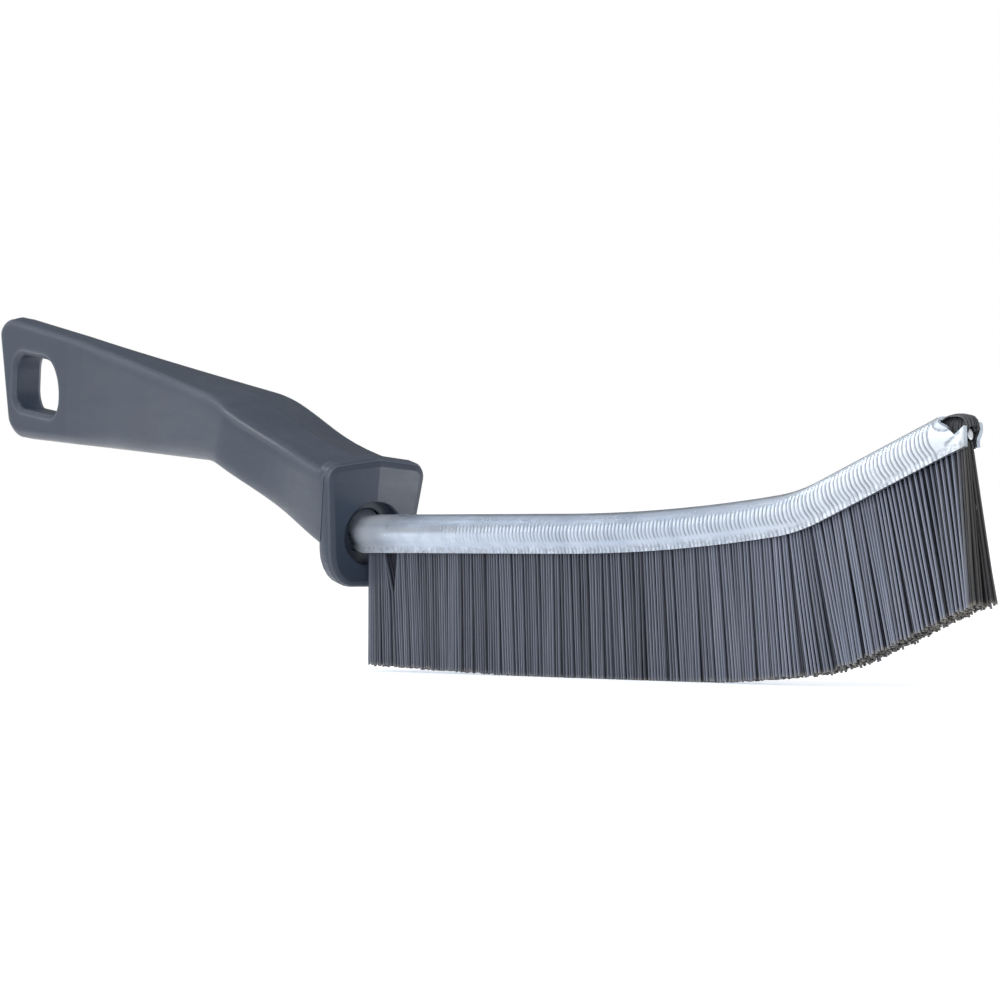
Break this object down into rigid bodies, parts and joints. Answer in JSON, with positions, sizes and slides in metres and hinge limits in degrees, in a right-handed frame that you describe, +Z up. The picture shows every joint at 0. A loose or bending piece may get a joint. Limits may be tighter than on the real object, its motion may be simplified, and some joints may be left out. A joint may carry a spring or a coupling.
{
  "type": "tile brush",
  "caption": "Long slim strip brush for tile joints and gaps: grey filaments held in a folded metal channel with a raised toe, seated in a moulded handle with a hang slot.",
  "frame": {"origin": "under the middle of the brush's box, at the level that the filament tips stand on", "axes": "+X from the handle to the toe along the strip, +Z up away from the filament tips, +Y across the brush; it is symmetrical about Y = 0 apart from the order of its filament tips"},
  "size_m": [0.289, 0.0172, 0.0569],
  "materials": {
    "handle_plastic": "satin moulded plastic, blue grey",
    "zinc_sheet": "zinc plated, bright",
    "steel_wire": "drawn wire, bright",
    "filament": "plain plastic filament, dark grey"
  },
  "bodies": {
    "root": {"handle": "handle_plastic", "strip_channel": "zinc_sheet", "core_wire": "steel_wire", "bristles_heel": "filament", "bristles_rear": "filament", "bristles_front": "filament", "bristles_toe": "filament"}
  },
  "joints": []
}
